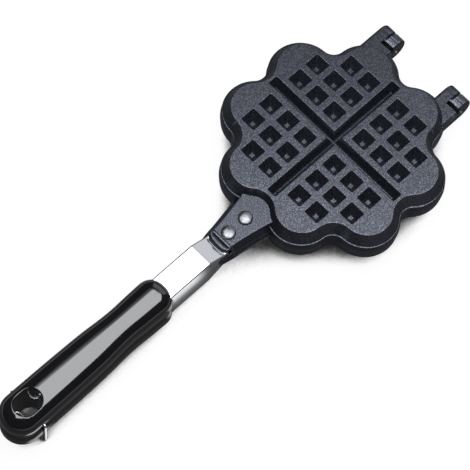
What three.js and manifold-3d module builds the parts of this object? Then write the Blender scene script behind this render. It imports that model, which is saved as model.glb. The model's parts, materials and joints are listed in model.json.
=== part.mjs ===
// Flower waffle iron: two identical cast halves hinged at the back, riveted to channel shanks that
// carry moulded grips, and held shut by a wire bail.
// Millimetres, +Z up, +X from the hinge to the grips. It stands on z = 0 with its length centred on x = 0.
// A half is modelled with the parting plane at z = 0 and its outer face up. The lower half is the same
// half turned over about the X axis.
import * as THREE from "three";
import { mergeVertices } from "three/addons/utils/BufferGeometryUtils.js";
import Module from "manifold-3d";

// Shared clearances and wall sizes
const fitGap = 0.3;
const overrun = 1;
const edgeBreak = 0.5;
const mergeTolerance = 1e-4;

// Flower outline of the outer face: round lobes joined by round notches
const lobeCount = 8;
const lobeCentreRadius = 58.7;
const lobeRadius = 18.7;
const notchRadius = 15.1;
const lobeSteps = 9;
const notchSteps = 5;

// Casting, measured from the parting plane and from the outline of the outer face
const castingHeight = 17.4;
const castingWall = 3;
const rimDepth = 9.3;
const rimDraft = 4.2;
const ledgeWidth = 1.2;
const lipDraft = 0.7;
const landWidth = 4;
const cavityDraft = 3.4;
const cavityFillet = 1.2;

// Waffle grid: square wells in four corners, parted by two crossing grooves
const wellPitch = 17;
const firstWell = 14.43;
const wellsPerSide = 3;
const wellOpening = 12.1;
const wellInset = 4.4;
const wellDepth = 8.1;
const wellWall = 2.5;
const grooveLength = 123;
const grooveOpening = 7.8;
const grooveInset = 3.35;

// Tang that carries the shank, in the notch on the +X side
const tangRoot = 58;
const tangShoulder = 74;
const tangTip = 107.3;
const tangShoulderHalf = 14.1;
const tangTipHalf = 8.2;
const tangTaperPower = 1.15;
const tangTop = 11.5;
const tangPlate = 3.5;
const tangWall = 2.6;
const tangFlare = [
  [5, 0],
  [3, 2.2],
  [1.5, 6],
];
const tangSideSteps = 4;
const tangHollowStart = 72.5;
const ledgeLength = 1.4;
const ledgeDrop = 1.2;
const noseLength = 5.4;
const noseHalf = 9.3;
const noseBulge = 1.9;
const noseCorner = 1.5;
const noseSteps = 3;
const noseSlope = [
  [0, 0],
  [1.1, 1],
  [3.3, 1.6],
];
const toeEnd = 119.2;
const toeWidth = 0.9;
const toeHeight = 1;

// Hinge ears and their pins
const hingeX = -88;
const earCentre = 32.4;
const earWidth = 18.6;
const armGap = 0.6;
const barrelRadius = 9.4;
const barrelClearance = 1.4;
const earRoot = -60;
const earRound = 1.8;
const earRoundSteps = 2;
const pinRadius = 2.5;
const pinRecess = 0.6;
const barrelSteps = 24;

// Rivets
const rivetPlaces = [85.7, 101.8];
const rivetHeadRadius = 5.3;
const rivetHeadHeight = 1.8;
const rivetShankRadius = 2.5;
const rivetTailRadius = 4.1;
const rivetTailHeight = 1.4;
const rivetDomeSteps = 3;
const roundSteps = 16;

// Shank, a pressed channel that narrows to a tongue under the tang and again inside the grip
const sheet = 1.5;
const tongueStart = 76;
const tongueHalf = 6;
const channelHalf = 9.6;
const gripTongueHalf = 6.2;
const widenStart = 109.2;
const widenLength = 1.6;
const narrowStart = 173;
const narrowLength = 6;
const shankEnd = 240;
const shankLevel = 15;
const riseStart = 116.5;
const riseEnd = 127;
const riseBend = 1.8;
const flangeStart = 110.8;
const flangeFull = 118.5;

// Grip
const gripFront = 162;
const gripFrontLength = 10;
const gripFrontPower = 2.2;
const gripFrontHalf = 12.3;
const gripWaistX = 200;
const gripWaistHalf = 9.9;
const gripMiddleX = 225;
const gripMiddleHalf = 10.9;
const gripPalmX = 254;
const gripPalmHalf = 12.3;
const gripRearHalf = 13.3;
const gripEnd = 307;
const gripHeight = 20.5;
const gripSideHeight = 6;
const gripSeamHeight = 1;
const gripSeamShare = 0.94;
const gripCrownPower = 2.5;
const gripCrownEnd = THREE.MathUtils.degToRad(80);
const gripCrownSteps = 5;
const gripSideSteps = 14;
const gripEndSteps = 7;
const hangHoleX = 286;
const hangHoleLength = 21;
const hangHoleWidth = 16.8;
const hangHoleRim = 1.2;
const hangHoleSteps = 8;
const hangHoleRimSteps = 2;

// Screw that holds the grip to the shank from inside the channel
const screwSetback = 28;
const screwRadius = 1.9;
const screwGrip = 3.4;
const screwHeadRadius = 3.6;
const screwHeadHeight = 2;

// Wire bail, pivoted in the sides of the upper grip and hooked under the lower one
const bailPivotX = 285.5;
const bailPivotZ = 5.4;
const wireRadius = 1;
const bailSideGap = 0.7;
const bailSlack = 0.4;
const bailBend = 3;
const bailSeatDepth = 2.8;
const bailSteps = 36;
const wireSides = 8;

// Sizes that follow from the ones above
const seam = fitGap / 2;
const wellFloor = castingHeight - wellDepth;
const cavityTop = castingHeight - castingWall;
const ledgeZ = castingHeight - rimDepth;
const tangCeiling = tangTop - tangPlate;
const tongueTop = tangCeiling - fitGap;
const gripRearCentre = gripEnd - gripRearHalf;
const gripFrontCentre = gripFront + gripFrontLength;
const screwX = shankEnd - screwSetback;

const wasm = await Module();
wasm.setup();

// Solids and joins
function solidOf(geometry) {
  const bare = geometry.index ? geometry.toNonIndexed() : geometry.clone();
  bare.deleteAttribute("normal");
  bare.deleteAttribute("uv");
  const merged = mergeVertices(bare, mergeTolerance);
  return new wasm.Manifold(
    new wasm.Mesh({
      numProp: 3,
      vertProperties: merged.attributes.position.array,
      triVerts: new Uint32Array(merged.index.array),
    }),
  );
}

function geometryOf(solid) {
  const mesh = solid.getMesh();
  const geometry = new THREE.BufferGeometry();
  geometry.setAttribute("position", new THREE.BufferAttribute(mesh.vertProperties, 3));
  geometry.setIndex(new THREE.BufferAttribute(mesh.triVerts, 1));
  const faceted = geometry.toNonIndexed();
  faceted.computeVertexNormals();
  return faceted;
}

function joined(solids) {
  return solids.reduce((all, next) => all.add(next));
}

// A closed solid through rings of equal point count, each anticlockwise from above, listed upwards
function loft(rings) {
  const count = rings[0].length;
  const points = rings.flat();
  const faces = [];
  for (let level = 0; level + 1 < rings.length; level++) {
    for (let i = 0; i < count; i++) {
      const a = level * count + i;
      const b = level * count + ((i + 1) % count);
      faces.push(a, b, b + count, a, b + count, a + count);
    }
  }
  const top = (rings.length - 1) * count;
  for (const [ring, start, up] of [[rings[0], 0, false], [rings.at(-1), top, true]]) {
    const centre = points.length;
    const middle = ring.reduce((sum, p) => sum.add(p), new THREE.Vector3());
    points.push(middle.divideScalar(count));
    for (let i = 0; i < count; i++) {
      const a = start + i;
      const b = start + ((i + 1) % count);
      faces.push(centre, up ? a : b, up ? b : a);
    }
  }
  const geometry = new THREE.BufferGeometry().setFromPoints(points);
  geometry.setIndex(faces);
  return solidOf(geometry);
}

// An outline in the XY plane, raised from z = low to z = high
function raised(shape, low, high, curveSegments) {
  const options = { depth: high - low, bevelEnabled: false, curveSegments };
  return solidOf(new THREE.ExtrudeGeometry(shape, options).translate(0, 0, low));
}

// An outline in the XZ plane, drawn out from y = low to y = high
function drawnOut(shape, low, high) {
  const options = { depth: high - low, bevelEnabled: false };
  const geometry = new THREE.ExtrudeGeometry(shape, options);
  return solidOf(geometry.rotateX(Math.PI / 2).translate(0, high, 0));
}

// An outline in the YZ plane, drawn out from x = low to x = high
function drawnAlong(shape, low, high, curveSegments) {
  const options = { depth: high - low, bevelEnabled: false, curveSegments };
  const geometry = new THREE.ExtrudeGeometry(shape, options).translate(0, 0, low);
  return solidOf(geometry.rotateX(Math.PI / 2).rotateZ(Math.PI / 2));
}

function post(x, radius, low, high) {
  const geometry = new THREE.CylinderGeometry(radius, radius, high - low, roundSteps);
  geometry.rotateX(Math.PI / 2);
  return solidOf(geometry.translate(x, 0, (low + high) / 2));
}

function crossBar(x, z, radius, low, high, sides) {
  const geometry = new THREE.CylinderGeometry(radius, radius, high - low, sides);
  return solidOf(geometry.translate(x, (low + high) / 2, z));
}

function outline(points) {
  return new THREE.Shape(points.map(([x, y]) => new THREE.Vector2(x, y)));
}

// Flower outline, moved outward by offset
function flowerRing(offset, z) {
  const half = Math.PI / lobeCount;
  const reach = lobeRadius + notchRadius;
  const notchCentreRadius =
    lobeCentreRadius * Math.cos(half) + Math.sqrt(reach ** 2 - (lobeCentreRadius * Math.sin(half)) ** 2);
  const meet = Math.atan2(
    notchCentreRadius * Math.sin(half),
    notchCentreRadius * Math.cos(half) - lobeCentreRadius,
  );
  const points = [];
  for (let lobe = 0; lobe < lobeCount; lobe++) {
    const axis = (2 * lobe + 1) * half;
    const lobeCentre = onCircle(0, 0, lobeCentreRadius, axis);
    const notchCentre = onCircle(0, 0, notchCentreRadius, axis + half);
    for (let i = 0; i <= lobeSteps; i++) {
      const turn = axis + THREE.MathUtils.lerp(-meet, meet, i / lobeSteps);
      points.push(onCircle(...lobeCentre, lobeRadius + offset, turn));
    }
    for (let i = 1; i < notchSteps; i++) {
      const turn = axis + half + Math.PI + THREE.MathUtils.lerp(1, -1, i / notchSteps) * (meet - half);
      points.push(onCircle(...notchCentre, notchRadius - offset, turn));
    }
  }
  return points.map(([x, y]) => new THREE.Vector3(x, y, z));
}

function onCircle(x, y, radius, turn) {
  return [x + radius * Math.cos(turn), y + radius * Math.sin(turn)];
}

function rectangleRing([x, y], halfX, halfY, z) {
  return [
    new THREE.Vector3(x - halfX, y - halfY, z),
    new THREE.Vector3(x + halfX, y - halfY, z),
    new THREE.Vector3(x + halfX, y + halfY, z),
    new THREE.Vector3(x - halfX, y + halfY, z),
  ];
}

// Wells sunk in the outer face, and the pegs and ridges that they leave inside
function well({ centre, halfX, halfY, inset }) {
  const flare = edgeBreak + overrun;
  return loft([
    rectangleRing(centre, halfX - inset, halfY - inset, wellFloor),
    rectangleRing(centre, halfX, halfY, castingHeight - edgeBreak),
    rectangleRing(centre, halfX + flare, halfY + flare, castingHeight + overrun),
  ]);
}

function peg({ centre, halfX, halfY, inset }) {
  const slope = inset / (wellDepth - edgeBreak);
  const skin = wellWall * Math.hypot(1, slope);
  const tip = wellFloor - wellWall;
  const root = cavityTop + overrun;
  const growAt = (z) => skin - inset + (z - wellFloor) * slope;
  return loft([
    rectangleRing(centre, halfX + growAt(tip), halfY + growAt(tip), tip),
    rectangleRing(centre, halfX + growAt(root), halfY + growAt(root), root),
  ]);
}

function wellPlaces() {
  const places = [];
  for (let row = 0; row < wellsPerSide; row++) {
    for (let column = 0; column < wellsPerSide; column++) {
      const outermost = row + column === 2 * (wellsPerSide - 1);
      if (!outermost) {
        const x = firstWell + column * wellPitch;
        const y = firstWell + row * wellPitch;
        places.push([x, y], [-x, y], [-x, -y], [x, -y]);
      }
    }
  }
  return places;
}

function wells() {
  const squares = wellPlaces().map((centre) => ({
    centre,
    halfX: wellOpening / 2,
    halfY: wellOpening / 2,
    inset: wellInset,
  }));
  const groove = { centre: [0, 0], halfX: grooveLength / 2, halfY: grooveOpening / 2, inset: grooveInset };
  const cross = { ...groove, halfX: groove.halfY, halfY: groove.halfX };
  return [...squares, groove, cross];
}

// Outside and cavity of the casting
function castingOutside() {
  const ledge = rimDraft + ledgeWidth;
  return loft([
    flowerRing(ledge + lipDraft, seam),
    flowerRing(ledge, ledgeZ - edgeBreak),
    flowerRing(ledge - edgeBreak, ledgeZ),
    flowerRing(rimDraft, ledgeZ),
    flowerRing(edgeBreak / 2, castingHeight - edgeBreak),
    flowerRing(-edgeBreak / 2, castingHeight),
  ]);
}

function castingCavity() {
  const mouth = rimDraft + ledgeWidth + lipDraft - landWidth;
  return loft([
    flowerRing(mouth, -overrun),
    flowerRing(mouth, seam),
    flowerRing(mouth - cavityDraft, cavityTop - cavityFillet),
    flowerRing(mouth - cavityDraft - cavityFillet, cavityTop),
  ]);
}

// Tang: a channel whose walls flare at the foot, with a stepped nose over the shank
function tangHalf(x) {
  const share = Math.max(tangTip - x, 0) / (tangTip - tangShoulder);
  return tangTipHalf + (tangShoulderHalf - tangTipHalf) * share ** tangTaperPower;
}

function tangRing(start, end, spread, z) {
  const side = [];
  for (let i = 0; i <= tangSideSteps; i++) {
    const x = THREE.MathUtils.lerp(start, end, i / tangSideSteps);
    side.push([x, tangHalf(x) + spread]);
  }
  const right = side.map(([x, half]) => new THREE.Vector3(x, -half, z));
  const left = side.map(([x, half]) => new THREE.Vector3(x, half, z));
  return [...right, ...left.reverse()];
}

function tangOutside() {
  const end = tangTip + edgeBreak;
  return loft([
    ...tangFlare.map(([spread, z]) => tangRing(tangRoot, end, spread, Math.max(z, seam))),
    tangRing(tangRoot, tangTip + edgeBreak / 2, edgeBreak / 2, tangTop - edgeBreak),
    tangRing(tangRoot, tangTip - edgeBreak / 2, -edgeBreak / 2, tangTop),
  ]);
}

function tangHollow() {
  const end = tangTip + overrun;
  const [foot, , waist] = tangFlare.map(([spread]) => spread - tangWall);
  return loft([
    tangRing(tangHollowStart, end, foot, -overrun),
    tangRing(tangHollowStart, end, foot, seam),
    tangRing(tangHollowStart, end, waist, tangFlare[2][1]),
    tangRing(tangHollowStart, end, waist, tangCeiling),
  ]);
}

function tangNose() {
  const ledge = outline([
    [tangTip - overrun, -tangTipHalf],
    [tangTip + ledgeLength, -tangTipHalf],
    [tangTip + ledgeLength, tangTipHalf],
    [tangTip - overrun, tangTipHalf],
  ]);
  const nose = loft(noseSlope.map(([setBack, rise]) => noseRing(setBack, tangCeiling + rise)));
  return raised(ledge, tangCeiling, tangTop - ledgeDrop).add(nose);
}

function noseRing(setBack, z) {
  const start = tangTip - overrun;
  const front = tangTip + noseLength - setBack;
  const inner = noseHalf - noseCorner;
  const path = new THREE.Path();
  path.moveTo(start, -noseHalf);
  path.lineTo(front - noseCorner, -noseHalf);
  path.quadraticCurveTo(front, -noseHalf, front, -inner);
  path.quadraticCurveTo(front + 2 * noseBulge, 0, front, inner);
  path.quadraticCurveTo(front, noseHalf, front - noseCorner, noseHalf);
  path.lineTo(start, noseHalf);
  return path.getPoints(noseSteps).map((p) => new THREE.Vector3(p.x, p.y, z));
}

// Toes: the feet of the tang walls run on beside the shank and taper off
function toes() {
  const start = tangTip - overrun;
  const inner = channelHalf + fitGap;
  const [foot, knee] = tangFlare;
  const rings = [
    [
      [start, inner, seam],
      [toeEnd, inner, seam],
      [toeEnd, inner + toeWidth, seam],
      [start, tangHalf(start) + foot[0], seam],
    ],
    [
      [start, inner, knee[1]],
      [toeEnd, inner, toeHeight],
      [toeEnd, inner + toeWidth / 2, toeHeight],
      [start, tangHalf(start) + knee[0], knee[1]],
    ],
  ];
  const toe = loft(rings.map((ring) => ring.map((point) => new THREE.Vector3(...point))));
  return [toe, toe.mirror([0, 1, 0])];
}

// Hinge ears: on each, an arm with a full barrel and beside it a hollow for the other half's barrel
function ears() {
  const armWidth = (earWidth - armGap) / 2;
  return [-earCentre, earCentre].map((centre) => {
    const low = centre - earWidth / 2;
    const high = centre + earWidth / 2;
    const armEnd = low + armWidth;
    const bar = (radius, start, end, sides) => crossBar(hingeX, 0, radius, start, end, sides);
    return {
      block: earBlock(low, high),
      barrel: roundedBarrel(low, armEnd),
      hollow: bar(barrelRadius + barrelClearance, armEnd, high + overrun, barrelSteps),
      bore: bar(pinRadius + fitGap, low - overrun, high + overrun, roundSteps),
    };
  });
}

// The outer edge of each arm is rounded over, on the block and on the barrel alike
function earBlock(low, high) {
  const section = new THREE.Shape();
  section.moveTo(low, seam);
  section.lineTo(high, seam);
  section.lineTo(high, barrelRadius);
  section.lineTo(low + earRound, barrelRadius);
  section.absarc(low + earRound, barrelRadius - earRound, earRound, Math.PI / 2, Math.PI);
  return drawnAlong(section, hingeX, earRoot, earRoundSteps);
}

function roundedBarrel(low, high) {
  const profile = [new THREE.Vector2(0, low)];
  for (let i = 0; i <= earRoundSteps; i++) {
    const turn = (Math.PI / 2) * (i / earRoundSteps);
    const inset = earRound * (1 - Math.sin(turn));
    profile.push(new THREE.Vector2(barrelRadius - inset, low + earRound * (1 - Math.cos(turn))));
  }
  profile.push(new THREE.Vector2(barrelRadius, high), new THREE.Vector2(0, high));
  return solidOf(new THREE.LatheGeometry(profile, barrelSteps).translate(hingeX, 0, 0));
}

function plateSolid() {
  const hinge = ears();
  const blocks = hinge.map((ear) => ear.block);
  const outside = joined([castingOutside(), tangOutside(), ...toes(), ...blocks]);
  const inside = castingCavity().subtract(joined(wells().map(peg)));
  const holes = rivetHoles(tangCeiling, tangTop);
  return outside
    .subtract(joined(hinge.map((ear) => ear.hollow)))
    .add(joined(hinge.map((ear) => ear.barrel)))
    .add(tangNose())
    .subtract(joined([inside, ...wells().map(well), tangHollow(), ...holes]))
    .subtract(joined(hinge.map((ear) => ear.bore)));
}

function rivetHoles(low, high) {
  const radius = rivetShankRadius + fitGap;
  return rivetPlaces.map((x) => post(x, radius, low - overrun, high + overrun));
}

// Shank
function shankSide(drop, end, low) {
  const shape = new THREE.Shape();
  const slope = Math.atan2(shankLevel - tongueTop, riseEnd - riseStart);
  const shift = drop * Math.tan(slope / 2);
  const along = [riseBend * Math.cos(slope), riseBend * Math.sin(slope)];
  const [x1, z1] = [riseStart + shift, tongueTop - drop];
  const [x2, z2] = [riseEnd + shift, shankLevel - drop];
  shape.moveTo(tongueStart - drop, z1);
  shape.lineTo(x1 - riseBend, z1);
  shape.quadraticCurveTo(x1, z1, x1 + along[0], z1 + along[1]);
  shape.lineTo(x2 - along[0], z2 - along[1]);
  shape.quadraticCurveTo(x2, z2, x2 + riseBend, z2);
  shape.lineTo(end, z2);
  for (const [x, z] of low) shape.lineTo(x, z);
  return shape;
}

function shankPlan(spread, start, end) {
  const side = [
    [start, tongueHalf + spread],
    [widenStart, tongueHalf + spread],
    [widenStart + widenLength, channelHalf + spread],
    [narrowStart, channelHalf + spread],
    [narrowStart + narrowLength, gripTongueHalf + spread],
    [end, gripTongueHalf + spread],
  ];
  const mirrored = side.map(([x, half]) => [x, -half]);
  return outline([...mirrored, ...side.reverse()]);
}

function shankSolid() {
  const web = tongueTop - sheet;
  const flanges = [
    [shankEnd, fitGap],
    [flangeFull, fitGap],
    [flangeStart, web],
    [tongueStart, web],
  ];
  const below = [
    [shankEnd + overrun, -overrun],
    [tongueStart - sheet, -overrun],
  ];
  const reach = channelHalf + overrun;
  const top = shankLevel + overrun;
  const outer = drawnOut(shankSide(0, shankEnd, flanges), -reach, reach);
  const inner = drawnOut(shankSide(sheet, shankEnd + overrun, below), -reach, reach);
  const plan = raised(shankPlan(0, tongueStart, shankEnd), -overrun, top);
  const between = raised(shankPlan(-sheet, tongueStart - overrun, shankEnd + overrun), -overrun, top);
  const screwHole = post(screwX, screwRadius + fitGap, shankLevel - sheet - overrun, top);
  return outer
    .intersect(plan)
    .subtract(inner.intersect(between))
    .subtract(joined([...rivetHoles(web, tongueTop), screwHole]));
}

// Grip: its plan outline is drawn in towards a spine as it rises to the crown
function gripPlan() {
  const flank = new THREE.SplineCurve([
    new THREE.Vector2(gripFrontCentre, gripFrontHalf),
    new THREE.Vector2(gripWaistX, gripWaistHalf),
    new THREE.Vector2(gripMiddleX, gripMiddleHalf),
    new THREE.Vector2(gripPalmX, gripPalmHalf),
    new THREE.Vector2(gripRearCentre, gripRearHalf),
  ]).getPoints(gripSideSteps);
  const side = flank.map((p) => [p.x, p.y]);
  const rear = [];
  const front = [];
  for (let i = 1; i < gripEndSteps; i++) {
    const turn = (Math.PI / 2) * (i / gripEndSteps);
    rear.push([gripRearCentre + gripRearHalf * Math.sin(turn), gripRearHalf * Math.cos(turn)]);
    const power = 2 / gripFrontPower;
    front.push([
      gripFrontCentre - gripFrontLength * Math.cos(turn) ** power,
      gripFrontHalf * Math.sin(turn) ** power,
    ]);
  }
  const left = [[gripFront, 0], ...front, ...side, ...rear, [gripEnd, 0]];
  const right = left.slice(1, -1).map(([x, y]) => [x, -y]);
  return [...right, ...left.reverse()];
}

function gripRing(share, z) {
  return gripPlan().map(([x, y]) => {
    const spine = THREE.MathUtils.clamp(x, gripFrontCentre, gripRearCentre);
    return new THREE.Vector3(spine + (x - spine) * share, y * share, z);
  });
}

// Shares of the half width and heights, from the seam up to the crown
function gripLevels() {
  const levels = [
    [gripSeamShare, seam],
    [1, gripSeamHeight],
  ];
  for (let i = 0; i <= gripCrownSteps; i++) {
    const turn = (gripCrownEnd * i) / gripCrownSteps;
    const share = Math.cos(turn) ** (2 / gripCrownPower);
    levels.push([share, gripSideHeight + crownRise(Math.sin(turn))]);
  }
  return levels;
}

function stadiumRing(grow, z) {
  const radius = hangHoleWidth / 2 + grow;
  const centre = (hangHoleLength - hangHoleWidth) / 2;
  const points = [];
  for (const [x, start] of [[hangHoleX + centre, -Math.PI / 2], [hangHoleX - centre, Math.PI / 2]]) {
    for (let i = 0; i <= hangHoleSteps; i++) {
      const turn = start + (Math.PI * i) / hangHoleSteps;
      points.push(new THREE.Vector3(x + radius * Math.cos(turn), radius * Math.sin(turn), z));
    }
  }
  return points;
}

// The hole's mouth is rounded over by hangHoleRim where it meets the crown
function hangHole() {
  const rings = [stadiumRing(edgeBreak + overrun, seam - overrun), stadiumRing(0, seam + edgeBreak)];
  for (let i = 0; i <= hangHoleRimSteps; i++) {
    const turn = (Math.PI / 2) * (i / hangHoleRimSteps);
    const ring = stadiumRing(hangHoleRim * (1 - Math.cos(turn)), 0);
    rings.push(ring.map((p) => p.setZ(crownHeight(p) - hangHoleRim * (1 - Math.sin(turn)))));
  }
  return loft([...rings, stadiumRing(hangHoleRim + overrun, gripHeight + overrun)]);
}

function crownHeight({ x, y }) {
  const share = Math.hypot(Math.max(x - gripRearCentre, 0), y) / gripRearHalf;
  const sine = Math.sqrt(1 - share ** gripCrownPower);
  return gripSideHeight + crownRise(Math.min(sine, Math.sin(gripCrownEnd)));
}

function crownRise(sine) {
  return (gripHeight - gripSideHeight) * (sine / Math.sin(gripCrownEnd)) ** (2 / gripCrownPower);
}

function gripSolid() {
  const body = loft(gripLevels().map(([share, z]) => gripRing(share, z)));
  const socket = raised(
    shankPlan(fitGap, gripFront - overrun, shankEnd + fitGap),
    -overrun,
    shankLevel + fitGap,
  );
  const screwBore = post(screwX, screwRadius + fitGap, shankLevel, shankLevel + screwGrip + edgeBreak);
  return body.subtract(joined([socket, hangHole(), screwBore]));
}

function gripWithBailSeats(grip) {
  const inner = gripRearHalf - bailSeatDepth - fitGap;
  const outer = gripRearHalf + overrun;
  const seat = (low, high) => crossBar(bailPivotX, bailPivotZ, wireRadius + fitGap, low, high, roundSteps);
  return grip.subtract(joined([seat(inner, outer), seat(-outer, -inner)]));
}

// Turned pieces, drawn as radius and height
function turned(profile) {
  const points = profile.map(([radius, height]) => new THREE.Vector2(radius, height));
  return new THREE.LatheGeometry(points, roundSteps).rotateX(Math.PI / 2);
}

function rivetGeometry() {
  const seat = tangTop + fitGap;
  const tailTop = tongueTop - sheet - fitGap;
  const dome = [];
  for (let i = 0; i <= rivetDomeSteps; i++) {
    const turn = (Math.PI / 2) * (i / rivetDomeSteps);
    dome.push([rivetHeadRadius * Math.cos(turn), seat + rivetHeadHeight * Math.sin(turn)]);
  }
  dome[rivetDomeSteps][0] = 0;
  return turned([
    [0, tailTop - rivetTailHeight],
    [rivetTailRadius - edgeBreak, tailTop - rivetTailHeight],
    [rivetTailRadius, tailTop],
    [rivetShankRadius, tailTop],
    [rivetShankRadius, seat],
    ...dome,
  ]);
}

function screwGeometry() {
  const headTop = shankLevel - sheet - fitGap;
  return turned([
    [0, headTop - screwHeadHeight],
    [screwHeadRadius - edgeBreak, headTop - screwHeadHeight],
    [screwHeadRadius, headTop - screwHeadHeight + edgeBreak],
    [screwHeadRadius, headTop],
    [screwRadius, headTop],
    [screwRadius, shankLevel + screwGrip - screwRadius],
    [0, shankLevel + screwGrip],
  ]);
}

// Bail: the legs are just long enough to swing past the far corner of the lower grip
function bailReach() {
  const corners = gripLevels().map(([share, z]) =>
    Math.hypot(gripRearCentre + gripRearHalf * share - bailPivotX, z + bailPivotZ),
  );
  return Math.max(...corners) + wireRadius + bailSlack;
}

function bailGeometry() {
  const side = gripRearHalf + bailSideGap + wireRadius;
  const end = gripRearHalf - bailSeatDepth;
  const foot = bailPivotZ - bailReach();
  const hook = side - gripRearHalf;
  const corners = [
    [end, bailPivotZ],
    [side, bailPivotZ],
    [side, foot],
    [-side, foot],
    [-side, bailPivotZ],
    [-end, bailPivotZ],
  ].map(([y, z]) => new THREE.Vector3(bailPivotX, y, z));
  const section = new THREE.Shape().absarc(0, 0, wireRadius, 0, 2 * Math.PI);
  return new THREE.ExtrudeGeometry(section, {
    steps: bailSteps,
    curveSegments: wireSides / 2,
    extrudePath: roundedPath(corners, [hook, bailBend, bailBend, hook]),
    bevelEnabled: false,
  });
}

// A line through the corners, each inner one rounded over the length of its bend
function roundedPath(corners, bends) {
  const path = new THREE.CurvePath();
  let from = corners[0];
  bends.forEach((bend, i) => {
    const corner = corners[i + 1];
    const towards = (point) => point.clone().sub(corner).setLength(bend).add(corner);
    const enter = towards(corners[i]);
    const leave = towards(corners[i + 2]);
    path.add(new THREE.LineCurve3(from, enter));
    path.add(new THREE.QuadraticBezierCurve3(enter, corner, leave));
    from = leave;
  });
  path.add(new THREE.LineCurve3(from, corners.at(-1)));
  return path;
}

// Materials
const coat = { color: 0x3c4048, roughness: 0.55, metalness: 0.4 };
const chrome = { color: 0xd9dbe2, roughness: 0.15, metalness: 1 };
const rivetMetal = { color: 0xc9cbd0, roughness: 0.3, metalness: 1 };
const gripPlastic = { color: 0x0b0b0d, roughness: 0.12, metalness: 0 };

function piece(name, geometry, finish) {
  const mesh = new THREE.Mesh(geometry, new THREE.MeshStandardMaterial(finish));
  mesh.name = name;
  return mesh;
}

// One half, named by its side
const plateGeometry = geometryOf(plateSolid());
const shankGeometry = geometryOf(shankSolid());
const plainGrip = gripSolid();
const gripGeometries = {
  upper: geometryOf(gripWithBailSeats(plainGrip)),
  lower: geometryOf(plainGrip),
};

function half(side) {
  const group = new THREE.Group();
  group.add(piece(`${side}_plate`, plateGeometry, coat));
  group.add(piece(`${side}_shank`, shankGeometry, chrome));
  group.add(piece(`${side}_grip`, gripGeometries[side], gripPlastic));
  rivetPlaces.forEach((x, i) => {
    const rivet = piece(`${side}_rivet_${i + 1}`, rivetGeometry(), rivetMetal);
    rivet.position.x = x;
    group.add(rivet);
  });
  const screw = piece(`${side}_grip_screw`, screwGeometry(), chrome);
  screw.position.x = screwX;
  group.add(screw);
  return group;
}

function hingePins() {
  const length = earWidth - 2 * pinRecess;
  return [-earCentre, earCentre].map((centre, i) => {
    const pin = piece(
      `hinge_pin_${i + 1}`,
      new THREE.CylinderGeometry(pinRadius, pinRadius, length, roundSteps),
      chrome,
    );
    pin.position.set(hingeX, centre, 0);
    return pin;
  });
}

// The whole iron, closed and latched
const iron = new THREE.Group();
const upper = half("upper");
const lower = half("lower");
lower.rotation.x = Math.PI;
iron.add(upper, lower, ...hingePins(), piece("locking_bail", bailGeometry(), chrome));
iron.position.x = -(gripEnd + hingeX - barrelRadius) / 2;
iron.position.z = bailReach() + wireRadius - bailPivotZ;

export default iron;
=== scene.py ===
"""Looks of the flower waffle iron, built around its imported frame.

Pieces are made in millimetres, with x = 0 at the flower's centre, z = 0 at the parting plane and the
outer face up, and are then set in the frame. The lower half is the upper one turned over about the
X axis.
"""
import json
import math

import bmesh
import bpy
from mathutils import Matrix, Vector


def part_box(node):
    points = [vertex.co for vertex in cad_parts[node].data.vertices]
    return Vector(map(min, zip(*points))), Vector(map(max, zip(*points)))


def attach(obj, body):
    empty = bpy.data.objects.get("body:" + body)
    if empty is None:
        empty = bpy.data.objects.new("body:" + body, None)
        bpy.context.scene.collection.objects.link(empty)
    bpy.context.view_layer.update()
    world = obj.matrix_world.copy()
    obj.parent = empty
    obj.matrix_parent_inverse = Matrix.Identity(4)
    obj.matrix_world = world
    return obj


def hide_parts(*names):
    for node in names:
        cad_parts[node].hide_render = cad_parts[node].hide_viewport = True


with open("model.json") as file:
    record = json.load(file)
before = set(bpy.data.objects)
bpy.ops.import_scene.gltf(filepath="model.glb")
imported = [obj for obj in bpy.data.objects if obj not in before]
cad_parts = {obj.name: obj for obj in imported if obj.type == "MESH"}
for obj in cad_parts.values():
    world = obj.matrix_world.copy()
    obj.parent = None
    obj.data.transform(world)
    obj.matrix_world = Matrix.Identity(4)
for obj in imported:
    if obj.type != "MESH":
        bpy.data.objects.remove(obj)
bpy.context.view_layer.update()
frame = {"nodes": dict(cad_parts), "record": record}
nodes = frame["nodes"]

# Shared sizes. SEAM is half the gap between the halves, and BORE fits the pins and the rivets.
MM = 0.001
SEAM = 0.15
BORE, SCREW_BORE = 2.8, 2.2
RIVETS = (85.7, 101.8)
SCREW_X = 212.0

# Casting. Its profiles are (outward from the top's outline, height).
LOBES, LOBE_CENTRE, LOBE_RADIUS, NOTCH_RADIUS = 8, 58.7, 18.7, 15.1
TOP, LEDGE_Z = 17.4, 8.1
RIM_DRAFT, LEDGE_WIDTH, LIP_DRAFT, LAND = 4.2, 1.2, 0.7, 4.0
RIM_FOOT, RIM_CROWN, LEDGE_ROUND = 1.0, 1.15, 0.75
CAVITY_TOP, CAVITY_DRAFT, CAVITY_FILLET = 14.4, 3.4, 1.3
WELL_HALF, WELL_INSET, WELL_FLOOR, WELL_RIM, WELL_WALL = 6.05, 4.4, 9.3, 0.75, 2.5
FIRST_WELL, WELL_PITCH, WELLS_PER_SIDE = 14.43, 17, 3
GROOVE_HALF_LENGTH, GROOVE_HALF, GROOVE_INSET = 61.5, 3.9, 3.35

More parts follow.
